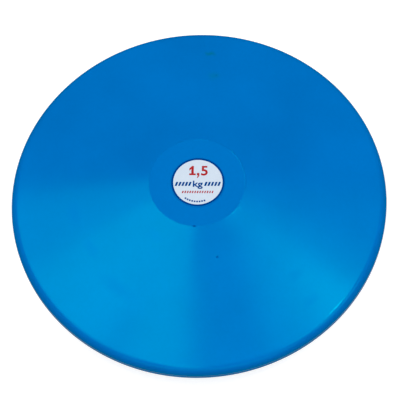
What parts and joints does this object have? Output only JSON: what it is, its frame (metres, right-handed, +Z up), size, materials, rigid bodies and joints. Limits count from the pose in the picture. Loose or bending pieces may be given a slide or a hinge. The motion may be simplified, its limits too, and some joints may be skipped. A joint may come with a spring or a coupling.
{
  "type": "discus",
  "caption": "Soft PVC throwing discus: two moulded cone-faced halves joined at a rounded rim, with flat centre plugs, a heavy ballast inside and a round weight label.",
  "frame": {"origin": "middle of the lower flat centre, at the plane the discus lies on", "axes": "+Z up along the axis of revolution, towards the face with the label; the label reads upright when seen from -Y"},
  "size_m": [0.201, 0.201, 0.0393],
  "materials": {
    "soft_pvc": "satin",
    "plug_pvc": "satin",
    "mineral_ballast": "matte",
    "label_film": "satin"
  },
  "bodies": {
    "root": {"lower_shell": "soft_pvc", "upper_shell": "soft_pvc", "ballast_core": "mineral_ballast", "lower_centre_plug": "plug_pvc", "upper_centre_plug": "plug_pvc", "face_label": "label_film"}
  },
  "joints": []
}
